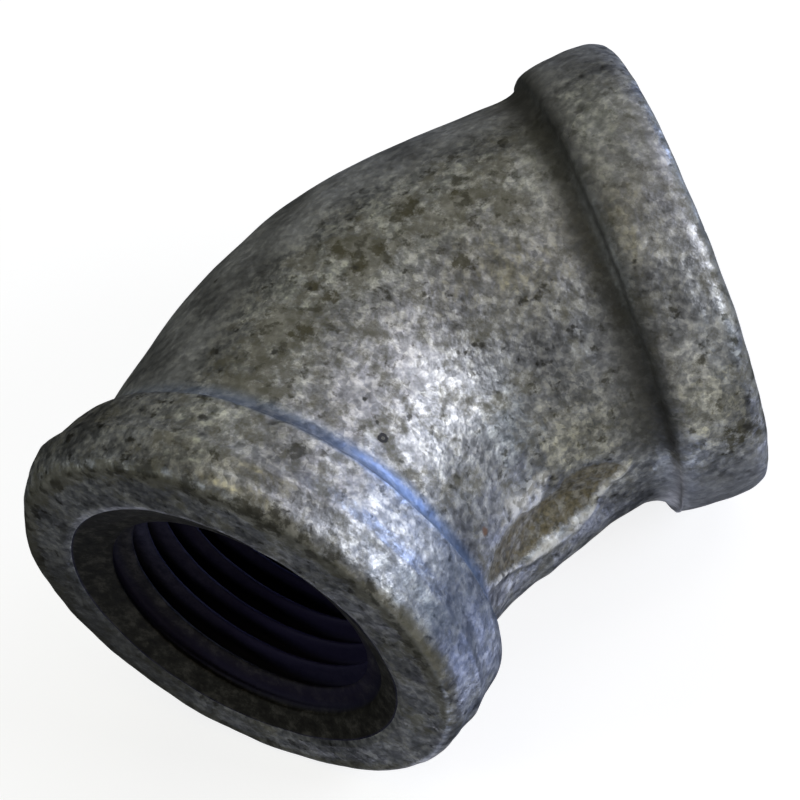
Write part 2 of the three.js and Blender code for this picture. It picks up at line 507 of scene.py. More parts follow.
def socket_profile():
    """The inner half of one end's outline, from mid passage to the end face's rim."""
    thread_end_radius = CREST_RADIUS - THREAD_LENGTH * TAPER
    sink_slope = (RIM_RADIUS - CREST_RADIUS) / COUNTERSINK_DEPTH
    passage = [(HALF_LENGTH, CHAMBER_RADIUS), (THREAD_LENGTH + SHOULDER_LENGTH, CHAMBER_RADIUS)]
    shoulder = [passage[-1], (THREAD_LENGTH, thread_end_radius)]
    thread = [shoulder[-1], (COUNTERSINK_DEPTH, CREST_RADIUS - COUNTERSINK_DEPTH * TAPER)]
    sink = [thread[-1], (RIM_ROUND, RIM_RADIUS - RIM_ROUND * sink_slope)]
    rim = [sink[-1], (RIM_ROUND * 0.3, RIM_RADIUS), (0, RIM_RADIUS + RIM_ROUND)]
    return [
        (passage, CHAMBER_STEP, BORE),
        (shoulder, SHOULDER_STEP, BORE),
        (thread, THREAD_STEP, BORE),
        (sink, SINK_STEP, BORE),
        (rim, THREAD_STEP, SKIN),
    ]


def skin_profile(band):
    """The outer half of one end's outline, from the end face's rim to mid body."""
    edge_radius = BAND_RADIUS - EDGE_ROUND_DEEP
    round_start = band["width"] - band["back_round_along"]
    back_radius = BAND_RADIUS - band["back_round_deep"]
    face = [(0, RIM_RADIUS + RIM_ROUND), (0, edge_radius)]
    edge = arc((EDGE_ROUND_ALONG, edge_radius), (EDGE_ROUND_ALONG, EDGE_ROUND_DEEP), 180, 90)
    highest = ((EDGE_ROUND_ALONG + round_start) / 2, BAND_RADIUS + band["crown"])
    crown = [edge[-1], highest, (round_start, BAND_RADIUS)]
    back = arc((round_start, back_radius), (band["back_round_along"], band["back_round_deep"]), 90, 0)
    fillet_centre = (band["width"] + band["fillet"], back_radius)
    fillet = arc(fillet_centre, (band["fillet"], back_radius - BODY_RADIUS), 180, 270)
    body = [fillet[-1], (HALF_LENGTH, BODY_RADIUS)]
    return [
        (face, FACE_STEP, SKIN),
        (edge, ROUND_STEP, SKIN),
        (crown, SKIN_STEP, SKIN),
        (back, ROUND_STEP, SKIN),
        (fillet, ROUND_STEP, SKIN),
        (body, SKIN_STEP, SKIN),
    ]


def resample(points, spacing):
    """Evenly spaced points along a line of points, without its last one."""
    points = np.array(points, float)
    lengths = np.linalg.norm(np.diff(points, axis=0), axis=1)
    travelled = np.concatenate([[0], np.cumsum(lengths)])
    count = max(1, round(travelled[-1] / spacing))
    wanted = np.linspace(0, travelled[-1], count + 1)[:-1]
    return np.stack([np.interp(wanted, travelled, points[:, k]) for k in (0, 1)], axis=1)


def end_rows(band):
    """Distance from the end face, radius and material of the rows of one end's half."""
    rows = []
    materials = []
    for points, spacing, material in socket_profile() + skin_profile(band):
        part = resample(points, spacing)
        rows.append(part)
        materials += [material] * len(part)
    rows = np.concatenate(rows)
    rows[:, 0] += band["inset"] * (1 - rows[:, 0] / HALF_LENGTH)
    return rows, materials


def profile_loop():
    """The wall's whole closed outline: place along the centre line, radius and material of each row."""
    rows_a, materials_a = end_rows(BAND_A)
    rows_b, materials_b = end_rows(BAND_B)
    # End B's half runs backwards and leaves out its first row, the middle of the passage, which end
    # A's half has. The middle of the body is in neither half.
    along = np.concatenate([rows_a[:, 0] - HALF_LENGTH, [0.0], (HALF_LENGTH - rows_b[1:, 0])[::-1]])
    radius = np.concatenate([rows_a[:, 1], [BODY_RADIUS], rows_b[1:, 1][::-1]])
    return along, radius, np.array(materials_a + [SKIN] + materials_b[1:][::-1])


def centre_line(along):
    """Point, flow direction and direction towards the inside of the bend, for places along the line."""
    half_arc = BEND_RADIUS * BEND_ANGLE / 2
    turned = np.clip((along + half_arc) / BEND_RADIUS, 0, BEND_ANGLE)
    past = along + half_arc - BEND_RADIUS * turned
    zero = np.zeros_like(along)
    flow = np.stack([np.sin(turned), np.cos(turned), zero], axis=1)
    inward = np.stack([np.cos(turned), -np.sin(turned), zero], axis=1)
    x = BEND_RADIUS * (1 - np.cos(turned))
    y = BEND_RADIUS * np.sin(turned) - BEND_TANGENT
    return np.stack([x, y, zero], axis=1) + flow * past[:, None], flow, inward


class Casting:
    """The grid of points, with the place and angle of each."""

    def __init__(self):
        along, radius, material = profile_loop()
        angle = np.linspace(0, 2 * math.pi, SIDES, endpoint=False)
        self.rows = len(along)
        self.along = np.repeat(along, SIDES)
        self.angle = np.tile(angle, self.rows)
        self.radius = np.repeat(radius, SIDES)
        self.material = np.repeat(material, SIDES)
        self.from_end = HALF_LENGTH - np.abs(self.along)
        self.outside = (self.material == SKIN).astype(float)
        self.degrees = np.degrees((self.angle + math.pi) % (2 * math.pi) - math.pi)
        point, flow, inward = centre_line(along)
        self.centre = np.repeat(point, SIDES, axis=0)
        self.inward = np.repeat(inward, SIDES, axis=0)
        self.flow = np.repeat(flow, SIDES, axis=0)
        self.place()

    def place(self):
        """Puts each point at its angle and radius."""
        across = self.inward * np.cos(self.angle)[:, None]
        across[:, 2] += np.sin(self.angle)
        self.points = self.centre + across * self.radius[:, None]

    def normals(self):
        """The outward direction at each point, out of the metal."""
        grid = self.points.reshape(self.rows, SIDES, 3)
        down = np.roll(grid, -1, axis=0) - np.roll(grid, 1, axis=0)
        around = np.roll(grid, -1, axis=1) - np.roll(grid, 1, axis=1)
        normal = np.cross(down, around).reshape(-1, 3)
        return normal / np.maximum(np.linalg.norm(normal, axis=1, keepdims=True), 1e-9)

    def quads(self):
        """The corners of each face, as point numbers."""
        index = np.arange(self.rows * SIDES).reshape(self.rows, SIDES)
        right = np.roll(index, -1, axis=1)
        below = np.roll(index, -1, axis=0)
        corner = np.roll(below, -1, axis=1)
        return np.stack([index, below, corner, right], axis=-1).reshape(-1, 4)


# ------------ the casting's shape

def cut_threads(casting):
    """Pushes the rows of the two sockets out along one right-hand helix, and returns how far."""
    turn = casting.along / PITCH + casting.angle / (2 * math.pi) + THREAD_PHASE
    wave = np.abs((turn % 1) - 0.5) * 2
    groove = smooth(wave, *CREST_TO_ROOT)
    start = smooth(casting.from_end, *THREAD_STARTS)
    end = 1 - smooth(casting.from_end, *THREAD_FADES)
    in_bore = casting.material == BORE
    depth = (ROOT_RADIUS - CREST_RADIUS) * groove * start * end * in_bore
    casting.radius = casting.radius + depth
    casting.place()
    return depth


def sharpen_back_edges(casting):
    """Less rounding of the bands' back edges towards the inside of the bend, and band A's extra width."""
    round_a = smooth(np.abs(casting.degrees - SHARP_A), *ROUNDED_A)
    round_b = smooth(np.abs(casting.degrees - SHARP_B), *ROUNDED_B)
    halves = ((BAND_A, casting.along < 0, round_a), (BAND_B, casting.along > 0, round_b))
    for band, side, rounded in halves:
        width = band["width"]
        round_start = width - band["back_round_along"]
        back_radius = BAND_RADIUS - band["back_round_deep"]
        in_back = (casting.from_end > round_start) & (casting.from_end < width)
        in_fillet = (casting.from_end >= width) & (casting.from_end < width + band["fillet"])
        lowered = (BAND_RADIUS - casting.radius) / band["back_round_deep"]
        left = (casting.radius - BODY_RADIUS) / (back_radius - BODY_RADIUS)
        share = np.clip(np.where(in_back, lowered, left * in_fillet), 0, 1) * casting.outside * side
        casting.radius = casting.radius + SHARPENED * band["back_round_deep"] * share * (1 - rounded)
    near_edge = bump(casting.from_end, BAND_A["width"], WIDER_REACH) * (casting.along < 0) * casting.outside
    casting.centre = casting.centre + casting.flow * (WIDER_A * near_edge * (1 - round_a))[:, None]
    casting.place()


def web_bar():
    """The middle of the web's bar and the direction that it runs in."""
    halfway = np.array([math.sin(BEND_ANGLE / 2), math.cos(BEND_ANGLE / 2), 0])
    foot = np.array([WEB_BAR_OFFSET, -WEB_BAR_REACH, -WEB_BAR_DROP])
    return foot - foot.dot(halfway) * halfway, halfway


def bar_radius(casting):
    """How far out the bar's surface lies from the centre line, in each point's own direction."""
    middle, run = web_bar()
    outward = casting.inward * np.cos(casting.angle)[:, None]
    outward[:, 2] += np.sin(casting.angle)
    across = outward - outward.dot(run)[:, None] * run
    start = casting.centre - middle
    start = start - start.dot(run)[:, None] * run
    a = np.einsum("ij,ij->i", across, across)
    b = np.einsum("ij,ij->i", across, start)
    c = np.einsum("ij,ij->i", start, start) - WEB_BAR_RADIUS ** 2
    inside = b * b - a * c
    return np.where(inside > 0, (-b + np.sqrt(np.maximum(inside, 0))) / np.maximum(a, 1e-6), 0)


def add_web(casting):
    """The extra metal across the inside of the bend, on the lower side of its plane."""
    bar = bar_radius(casting)
    facing = np.cos(casting.angle) > 0
    on_body = casting.outside * (casting.from_end > WEB_START) * facing
    apart = np.clip(0.5 + 0.5 * (bar - casting.radius) / WEB_BLEND, 0, 1)
    joined = casting.radius + (bar - casting.radius) * apart + WEB_BLEND * apart * (1 - apart)
    casting.radius = np.where(on_body > 0, np.maximum(joined, casting.radius), casting.radius)
    casting.place()


def swell(casting):
    """The casting's own unevenness, from the table of swellings."""
    for degrees, along, spread, length, height in SWELLINGS:
        turned = (casting.degrees - degrees + 180) % 360 - 180
        share = bump(turned, 0, spread) * bump(casting.along, along, length) * casting.outside
        casting.radius = casting.radius + height * share * (casting.from_end > SWELL_FROM_FACE)
    casting.place()


def lip(casting, edge, shape, shown, broken):
    """How near each point is to the crest of a lip beyond an edge of the scar."""
    near = bump(casting.degrees, edge, shape["half_width"])
    return near * shown * np.minimum(broken + LIP_FLOOR, 1)


def add_scar(casting):
    """The shallow rough hollow with raised lips where the gate was broken off.

    Returns how deep each point is in the hollow, and how near it is to the crest of a lip.
    """
    middle = np.abs(casting.along - SCAR_ALONG)
    degrees = casting.degrees
    wander = noise("scar edge", casting.points)
    bottom = SCAR_BOTTOM + SCAR_BOTTOM_RISE * smooth(middle, *SCAR_CLOSES) + SCAR_BOTTOM_WANDER * wander
    rise = SCAR_TOP_RISE * smooth(middle, *SCAR_TOP_RISES)
    drop = SCAR_TOP_DROP * smooth(middle, *SCAR_TOP_DROPS)
    top = SCAR_TOP + rise - drop + SCAR_TOP_WANDER * wander
    shown = casting.outside * (1 - smooth(middle, *SCAR_ENDS))
    above = smooth(degrees, *(bottom + step for step in SCAR_BOTTOM_SLOPE))
    below = 1 - smooth(degrees, *(top + step for step in SCAR_TOP_SLOPE))
    hollow = above * below * shown
    broken = np.clip(LIP_WHOLE + LIP_BREAKS * noise("broken lips", casting.points), 0, LIP_MOST)
    lower_lip = lip(casting, bottom - LOWER_LIP["beyond"], LOWER_LIP, shown, broken)
    upper_shown = shown * (1 - smooth(casting.along, *UPPER_LIP_ENDS))
    upper_shown = upper_shown * smooth(casting.along, *UPPER_LIP_STARTS)
    upper_lip = lip(casting, top + UPPER_LIP["beyond"], UPPER_LIP, upper_shown, broken)
    rubble = RUBBLE_HEIGHT * noise("rubble", casting.points)
    rubble = rubble + FINE_RUBBLE_HEIGHT * noise("fine rubble", casting.points)
    casting.radius = casting.radius + hollow * (rubble - SCAR_DEPTH)
    casting.radius = casting.radius + LOWER_LIP["height"] * lower_lip + UPPER_LIP["height"] * upper_lip
    casting.place()
    return hollow, np.maximum(lower_lip, upper_lip)


def smooth_strip(casting):
    """The smoother outside of the bend, a hair proud, with a faint hollow along its upper edge.

    It runs on over band B, whose upper half is calmer too. Returns how smooth each point is.
    """
    wander = STRIP_WANDER * noise("strip edge", casting.points)
    degrees = casting.degrees % 360
    on_body = casting.outside * smooth(casting.from_end, *STRIP_ON_BODY)
    on_b = casting.outside * smooth(casting.from_end, *STRIP_FROM_FACE_B)
    on_b = on_b * smooth(casting.along, *STRIP_ON_BAND_B)
    edge = (STRIP_START + step + wander for step in STRIP_EDGE)
    strip = smooth(degrees, *edge) * np.maximum(on_body, on_b)
    calm = CALM_SHARE * smooth(degrees, *CALM_FROM) * on_b
    strip = np.maximum(strip, calm) * (1 - smooth(degrees, STRIP_END - STRIP_FADE, STRIP_END))
    hollow = bump(degrees, STRIP_START + HOLLOW_OFFSET + wander, HOLLOW_HALF_WIDTH) * on_body
    casting.radius = casting.radius + STRIP_RAISED * strip - HOLLOW_DEPTH * hollow
    casting.place()
    return strip


def smooth_underside(casting):
    """How smooth the lower side of band B and of the body beside it is."""
    below = UNDERSIDE_WANDER * noise("underside edge", casting.points) - casting.degrees
    near_b = smooth(casting.along, *UNDERSIDE_ALONG) * smooth(casting.from_end, *UNDERSIDE_FROM_FACE)
    near_b = near_b * casting.outside
    share = UNDERSIDE_SHARE * near_b * smooth(below, *UNDERSIDE_STARTS)
    return share * (1 - smooth(below, *UNDERSIDE_ENDS))


def shift_mouth(casting):
    """Moves end A's socket off the band's centre, less and less towards the passage."""
    near_a = (casting.along < 0) * (1 - smooth(casting.from_end, *MOUTH_SHIFT_FADES))
    on_face = (1 - smooth(casting.radius, *MOUTH_FACE_SHIFTS)) * (casting.from_end < MOUTH_FACE_DEPTH)
    share = np.where(casting.material == BORE, near_a, near_a * on_face)
    casting.points = casting.points + share[:, None] * np.array([MOUTH_A_SIDE, 0, MOUTH_A_UP])


def roughen(casting, strip):
    """Cast irregularity, from broad lumps to coarse sand grain, and scattered pits.

    Returns how far each point is down a hollow between the grains, which the material paints darker.
    """
    outside = casting.outside
    layers = {name: noise(name, casting.points) for name in HEIGHTS}
    small, fine = layers["small"], layers["fine"]
    sand = 1 - SAND_LOSS * strip
    pits = scattered_pits(casting, strip)
    lumps = HEIGHTS["broad"] * layers["broad"] + HEIGHTS["middle"] * layers["middle"]
    height = lumps + (HEIGHTS["small"] * small + HEIGHTS["fine"] * fine) * sand
    depth = outside * (height - pits) + (1 - outside) * PASSAGE_HEIGHT * layers["middle"]
    casting.points = casting.points + casting.normals() * depth[:, None]
    grain = CAVITY_GAIN * (CAVITY_SMALL * small + CAVITY_FINE * fine) * sand
    return outside * np.clip(CAVITY_LEVEL - grain + CAVITY_GAIN * pits, 0, 1)


def scattered_pits(casting, strip):
    """Depth of many small ragged pits, at seeded places on the outside."""
    draw = np.random.default_rng(PIT_SEED)
    on_skin = np.flatnonzero((casting.material == SKIN) & (strip < PIT_MOST_STRIP))
    ragged = 1 + PIT_RAGGED * noise("pit edge", casting.points)
    depth = np.zeros(len(casting.points))
    for index in draw.choice(on_skin, PIT_COUNT, replace=False):
        size = PIT_SIZE + PIT_SIZE_SPREAD * draw.random() ** 3
        stretch = draw.normal(size=3)
        stretch /= np.linalg.norm(stretch)
        offset = casting.points - casting.points[index]
        near = np.flatnonzero(np.abs(offset).max(axis=1) < PIT_REACH)
        offset = offset[near]
        away = np.sqrt((offset ** 2).sum(axis=1) - PIT_STRETCH * (offset @ stretch) ** 2) * ragged[near]
        pit = size * PIT_DEPTH * (1 - smooth(away, size * PIT_FLOOR, size))
        depth[near] = np.maximum(depth[near], pit)
    return depth


# ------------ where the looks change

def shaded_face(casting):
    """The lower left part of end A's face, which is painted darker as shade."""
    on_face = (casting.from_end < FACE_SHADE_DEPTH) * (casting.along < 0) * casting.outside
    return on_face * bump(casting.degrees % 360, FACE_SHADE_MIDDLE, FACE_SHADE_HALF_WIDTH)


def painted_blue_reflection(casting):
    """The painted blue reflection in the fillet behind band A, and the fainter one on the band itself."""
    inside = smooth(casting.from_end, *REFLECTION_STARTS)
    beyond = smooth(casting.from_end, *REFLECTION_ENDS)
    unfaded = 1 - REFLECTION_FADED * smooth(casting.degrees, *REFLECTION_FADES)
    blue_reflection = inside * (1 - beyond) * unfaded
    on_band = smooth(casting.from_end, *BLUE_FROM_FACE) * (1 - inside)
    tint = BLUE_TINT * bump(casting.degrees, BLUE_MIDDLE, BLUE_HALF_WIDTH) * on_band
    return np.maximum(blue_reflection, tint) * (casting.along < 0) * casting.outside


def gathered_dirt(casting):
    """Where dirt gathers: beside the smooth strip, and along most of both end faces' outer edges."""
    belt = bump(casting.degrees, BELT_MIDDLE, BELT_HALF_WIDTH) * casting.outside
    belt = belt * (casting.from_end > BAND_A["width"])
    edge = bump(casting.radius, BAND_RADIUS - EDGE_ROUND_DEEP, EDGE_DIRT_REACH)
    edge = edge * (casting.from_end < EDGE_ROUND_ALONG)
    edge = EDGE_DIRT * edge * (1 - bump(casting.degrees, CLEAN_EDGE_MIDDLE, CLEAN_EDGE_HALF_WIDTH))
    return np.maximum(belt, edge * casting.outside)


def crevice_shade(casting):
    """The painted shade in the crevice behind band B, and in the narrow seam behind band A."""
    degrees = casting.degrees
    behind = casting.from_end - BAND_B["width"]
    reach = CREVICE_REACH + CREVICE_EXTRA_REACH * (1 - smooth(degrees, *CREVICE_NARROWS))
    crevice = smooth(behind, *CREVICE_STARTS) * (1 - smooth(behind, CREVICE_FADES_AT, reach))
    crevice = crevice * (casting.along > 0)
    crevice = crevice * smooth(degrees, *CREVICE_BOTTOM) * (1 - smooth(degrees, *CREVICE_TOP))
    seam = SEAM_SHARE * bump(casting.from_end, BAND_A["width"] + SEAM_OFFSET, SEAM_HALF_WIDTH)
    seam = seam * (casting.along < 0)
    return np.maximum(crevice, seam) * casting.outside


def browned_mouth(casting):
    """The brown countersink, which fades out over the first turn of the thread."""
    return (1 - smooth(casting.from_end, *BROWN_ENDS)) * (1 - casting.outside)


def shaded_bore(casting):
    """Where the bore is painted darkest as shade: on its lower side, at the first groove and deep down."""
    lower = smooth(casting.from_end, *LOWER_DARK_DEPTH) * smooth(casting.degrees % 360, *LOWER_DARK_SIDE)
    first = FIRST_GROOVE_DARK * bump(casting.from_end, FIRST_GROOVE, FIRST_GROOVE_REACH)
    bore_shade = DEEP_SHADE * smooth(casting.from_end, *DEEP_SHADE_DEPTH)
    return np.maximum(np.maximum(lower, first), bore_shade)


# ------------ the casting's piece

def shape_casting():
    """The finished grid of points, and the fields that the materials read."""
    casting = Casting()
    fields = {"groove": cut_threads(casting) / (ROOT_RADIUS - CREST_RADIUS)}
    sharpen_back_edges(casting)
    add_web(casting)
    swell(casting)
    fields["scar"], fields["lips"] = add_scar(casting)
    strip = np.maximum(smooth_strip(casting), smooth_underside(casting))
    fields["strip"] = strip
    fields["dirt"] = gathered_dirt(casting)
    # Painted shade in the crevice behind band B and the seam behind band A
    fields["painted_shade"] = crevice_shade(casting)
    # Painted blue reflection behind band A and on its right side
    fields["blue_reflection"] = painted_blue_reflection(casting)
    # The lower left of end A's face, painted darker as shade
    fields["face"] = shaded_face(casting)
    fields["sink"] = browned_mouth(casting)
    # Painted shade in the bore
    fields["bore_shade"] = shaded_bore(casting)
    shift_mouth(casting)
    fields["cavity"] = roughen(casting, strip)
    return casting, fields


def build_mesh(casting, origin):
    """The casting's closed mesh, in metres."""
    quads = casting.quads()
    places = ((casting.points * MM) + np.array(origin)).astype(np.float32)
    mesh = bpy.data.meshes.new(PIECE)
    mesh.vertices.add(len(places))
    mesh.vertices.foreach_set("co", places.ravel())
    mesh.loops.add(quads.size)
    mesh.loops.foreach_set("vertex_index", quads.ravel().astype(np.int32))
    mesh.polygons.add(len(quads))
    mesh.polygons.foreach_set("loop_start", np.arange(0, quads.size, 4, dtype=np.int32))
    mesh.polygons.foreach_set("material_index", casting.material.astype(np.int32))
    mesh.update(calc_edges=True)
    mesh.validate()
    mesh.shade_smooth()
    return mesh


def skin_point(casting, degrees, along):
    """The point of the skin at a place, in millimetres."""
    away = np.abs(casting.degrees - degrees) / DEGREES_PER_MM + np.abs(casting.along - along)
    return casting.points[np.argmin(away + OFF_BORE * (1 - casting.outside))]


def placed_marks(casting, origin):
    """The marks' kinds, centres and radii, in millimetres."""
    offset = np.array(origin) / MM
    marks = []
    for kind, degrees, along, radius in MARKS:
        centre = skin_point(casting, degrees, along) + offset
        marks.append((kind, tuple(centre), radius))
    return marks


def make_casting(origin):
    """The casting as one piece, with its fields and its two materials."""
    casting, fields = shape_casting()
    mesh = build_mesh(casting, origin)
    for name, values in fields.items():
        layer = mesh.attributes.new(name, "FLOAT", "POINT")
        layer.data.foreach_set("value", values.astype(np.float32))
    mesh.materials.append(galvanised_iron(placed_marks(casting, origin)))
    mesh.materials.append(threaded_bore())
    piece = bpy.data.objects.new(PIECE, mesh)
    bpy.context.scene.collection.objects.link(piece)
    return piece


# ------------ materials

class Nodes:
    """Short names for making and joining shader nodes."""

    def __init__(self, name):
        self.material = bpy.data.materials.new(name)
        self.material.use_nodes = True
        self.tree = self.material.node_tree
        self.shader = self.tree.nodes["Principled BSDF"]

    def add(self, kind, inputs, **settings):
        """A new node with these inputs and settings."""
        node = self.tree.nodes.new(kind)
        for key, value in settings.items():
            setattr(node, key, value)
        for key, value in inputs.items():
            self.fill(node.inputs[key], value)
        return node

    def fill(self, socket, value):
        """Sets an input to a number or a colour, or links an output to it."""
        if isinstance(value, (int, float)):
            socket.default_value = value
        elif isinstance(value, tuple):
            socket.default_value = (*value, 1)
        else:
            self.tree.links.new(value, socket)

    def set(self, name, value):
        """Fills the shader's own input of that name."""
        self.fill(self.shader.inputs[name], value)

    def millimetres(self):
        """The place on the object, in millimetres."""
        place = self.add("ShaderNodeTexCoord", {}).outputs["Object"]
        return self.add("ShaderNodeVectorMath", {0: place, "Scale": 1 / MM}, operation="SCALE").outputs[0]

    def noise(self, place, name):
        """The noise texture of that name in the table."""
        size, detail, roughness = TEXTURES[name]
        inputs = {"Vector": place, "Scale": 1 / size, "Detail": detail, "Roughness": roughness}
        return self.add("ShaderNodeTexNoise", inputs).outputs["Fac"]

    def spangle(self, place, size):
        """A random grey for each small crystal of zinc."""
        crystals = self.add("ShaderNodeTexVoronoi", {"Vector": place, "Scale": 1 / size}, feature="F1")
        return self.add("ShaderNodeSeparateColor", {"Color": crystals.outputs["Color"]}).outputs["Red"]

    def distance(self, place, centre):
        """How far the place is from a fixed centre."""
        node = self.add("ShaderNodeVectorMath", {0: place}, operation="DISTANCE")
        node.inputs[1].default_value = centre
        return node.outputs["Value"]

    def attribute(self, name):
        """The mesh's field of that name."""
        return self.add("ShaderNodeAttribute", {}, attribute_name=name).outputs["Fac"]

    def ramp(self, value, stops):
        """The colour or grey of a value, between stops of (position, colour or grey)."""
        node = self.add("ShaderNodeValToRGB", {"Fac": value})
        elements = node.color_ramp.elements
        while len(elements) < len(stops):
            elements.new(0.5)
        for element, (position, paint) in zip(elements, stops):
            colour = paint if isinstance(paint, tuple) else (paint, paint, paint)
            element.position = position
            element.color = (*colour, 1)
        return node.outputs["Color"]

    def math(self, operation, first, second):
        """Two numbers or outputs put together."""
        return self.add("ShaderNodeMath", {0: first, 1: second}, operation=operation).outputs[0]

    def mix(self, share, first, second, blend="MIX"):
        """The first colour, with a share of the second over it."""
        inputs = {0: share, 6: first, 7: second}
        return self.add("ShaderNodeMix", inputs, data_type="RGBA", blend_type=blend).outputs[2]

    def bump(self, height, distance, strength, before=None):
        """The normal bent by a height, whose full step is a distance in millimetres."""
        inputs = {"Height": height, "Distance": distance * MM, "Strength": strength}
        if before is not None:
            inputs["Normal"] = before
        return self.add("ShaderNodeBump", inputs).outputs["Normal"]


def torn_edges(n, place):
    """Where the scar and its lips show, with edges torn by a noise."""
    torn = n.math("MULTIPLY", n.math("SUBTRACT", n.noise(place, "torn edge"), 0.5), TORN_GAIN)
    in_scar = n.attribute("scar")
    on_lips = n.attribute("lips")
    scar = n.ramp(n.math("ADD", in_scar, torn), RAMPS["scar"])
    lips = n.ramp(n.math("SUBTRACT", on_lips, n.math("MULTIPLY", torn, TORN_LIPS)), RAMPS["lips"])
    scar = n.math("MULTIPLY", scar, n.ramp(in_scar, RAMPS["inside"]))
    lips = n.math("MULTIPLY", lips, n.ramp(on_lips, RAMPS["inside"]))
    return scar, lips


def zinc_flakes(n, place):
    """The zinc's fine light and dark: flakes, and a random grey for each small crystal."""
    crystals = n.math("SUBTRACT", n.spangle(place, SPANGLE_SIZE), 0.5)
    return n.math("ADD", n.noise(place, "flakes"), n.math("MULTIPLY", crystals, SPANGLE_SHARE))


def skin_shares(n, place):
    """How strongly each of the skin's layers shows, by name."""
    strip, dirt, blue_reflection = (n.attribute(name) for name in ("strip", "dirt", "blue_reflection"))
    # The grain is calmer on the smooth strip and where the blue reflection is painted
    calm = n.math("MAXIMUM", n.math("MULTIPLY", strip, STRIP_CALM), n.math("MULTIPLY", blue_reflection, REFLECTION_CALM))
    sand = n.math("SUBTRACT", 1.0, calm)
    flakes = zinc_flakes(n, place)
    scar, lips = torn_edges(n, place)
    patches = n.math("ADD", n.noise(place, "patches"), n.math("MULTIPLY", dirt, DIRT_STAINS))
    spots = n.math("SUBTRACT", n.noise(place, "spots"), n.math("MULTIPLY", dirt, DIRT_PORES))
    # Painted shade on the lower left of end A's face
    face = n.math("MULTIPLY", n.attribute("face"), FACE_SHADE_SHARE)
    return {
        "strip": strip,
        "blue_reflection": blue_reflection,
        "sand": sand,
        "flakes": flakes,
        "stain": n.math("MULTIPLY", n.ramp(patches, RAMPS["stain"]), sand),
        "pores": n.math("MULTIPLY", n.ramp(spots, RAMPS["pores"]), sand),
        "bare": n.math("MULTIPLY", scar, n.ramp(flakes, RAMPS["bare scar"])),
        # A painted highlight on the scar's lips
        "lip_highlight": n.math("MULTIPLY", lips, n.ramp(spots, RAMPS["blotches"])),
        # Painted shade: the crevice and seam behind the bands, and the lower left of end A's face
        "painted_shade": n.math("MAXIMUM", n.math("MULTIPLY", n.attribute("painted_shade"), SHADE_SHARE), face),
    }


def clean_zinc(n, place, shares):
    """The zinc's own colour: mottled, evener on the smooth strip, with broad lighter and darker areas."""
    mottled = n.ramp(shares["flakes"], RAMPS["zinc"])
    evened = n.mix(n.math("MULTIPLY", shares["strip"], STRIP_SHARE), mottled, ZINC_SMOOTH)
    broad = n.ramp(n.noise(place, "broad tone"), RAMPS["broad tone"])
    return n.mix(1.0, evened, broad, blend="MULTIPLY")


def skin_colour(n, place, shares):
    """The zinc with its layers over it: stains, bare scar, pores, hollows, the painted blue reflection, a
    painted highlight on the scar's lips, and painted shade.
    """
    cavity = n.ramp(n.attribute("cavity"), RAMPS["cavity"])
    layers = (
        (n.math("MULTIPLY", shares["stain"], STAIN_SHARE), STAIN),
        (shares["bare"], n.ramp(n.noise(place, "earth"), RAMPS["earth"])),
        (n.math("MULTIPLY", shares["pores"], PORE_SHARE), PORE),
        (n.math("MULTIPLY", cavity, CAVITY_SHARE), CAVITY),
        # Painted blue reflection
        (n.math("MULTIPLY", shares["blue_reflection"], REFLECTION_SHARE), REFLECTED_BLUE),
        # Painted highlight on the scar's lips
        (shares["lip_highlight"], n.ramp(shares["flakes"], RAMPS["lip_highlight"])),
        (shares["painted_shade"], SHADE_COLOUR),
    )
    colour = clean_zinc(n, place, shares)
    for share, paint in layers:
        colour = n.mix(share, colour, paint)
    return colour


def add_marks(n, place, colour, marks):
    """Draws the marks over a colour, with ragged edges, and returns it with how marked each place is."""
    tears = {}
    for name in ("fine mark", "torn mark"):
        tears[name] = n.math("SUBTRACT", n.noise(place, name), 0.5)
    marked = 0.0
    for kind, centre, radius in marks:
        paint, name, raggedness, stops = MARK_KINDS[kind]
        away = n.math("DIVIDE", n.distance(place, centre), radius)
        away = n.math("ADD", away, n.math("MULTIPLY", tears[name], raggedness))
        shown = n.ramp(away, stops)
        colour = n.mix(shown, colour, paint)
        marked = n.math("MAXIMUM", marked, shown)
    return colour, marked


def set_gloss(n, place, shares, marked):
    """Metallic where the zinc is clean, and rougher where it is stained, painted with shade, scarred, on
    the scar's lips, marked or on the smooth strip.
    """
    # Stains and painted shade both make the zinc duller
    stained_or_shaded = n.math("MAXIMUM", shares["stain"], shares["painted_shade"])
    dull = n.math("MAXIMUM", stained_or_shaded, n.math("MAXIMUM", shares["bare"], shares["lip_highlight"]))
    dull = n.math("MAXIMUM", dull, n.math("MULTIPLY", marked, MARK_DULLNESS))
    n.set("Metallic", n.math("SUBTRACT", METALLIC, n.math("MULTIPLY", dull, METALLIC_LOSS)))
    uneven = n.math("MULTIPLY", n.noise(place, "gloss"), ROUGHNESS_SPREAD)
    rough = n.math("ADD", uneven, ROUGHNESS)
    dull_rough = n.math("MULTIPLY", dull, DULL_ROUGHNESS)
    strip_rough = n.math("MULTIPLY", shares["strip"], STRIP_ROUGHNESS)
    n.set("Roughness", n.math("ADD", rough, n.math("MAXIMUM", dull_rough, strip_rough)))


def set_relief(n, place, sand):
    """A coarse grain everywhere, and a fine one over it that fades where the skin is smooth."""
    coarse = n.bump(n.noise(place, "coarse grain"), *COARSE_BUMP)
    grain = n.math("MULTIPLY", n.noise(place, "grain"), sand)
    n.set("Normal", n.bump(grain, *GRAIN_BUMP, before=coarse))


def galvanised_iron(marks):
    """Dull zinc over cast iron: mottled grey, brown stains, dark pores and a soft sandy grain, with painted
    shade, a painted blue reflection and a painted highlight on the scar's lips.
    """
    n = Nodes("galvanised_iron")
    place = n.millimetres()
    shares = skin_shares(n, place)
    colour, marked = add_marks(n, place, skin_colour(n, place, shares), marks)
    n.set("Base Color", colour)
    set_gloss(n, place, shares, marked)
    set_relief(n, place, shares["sand"])
    return n.material


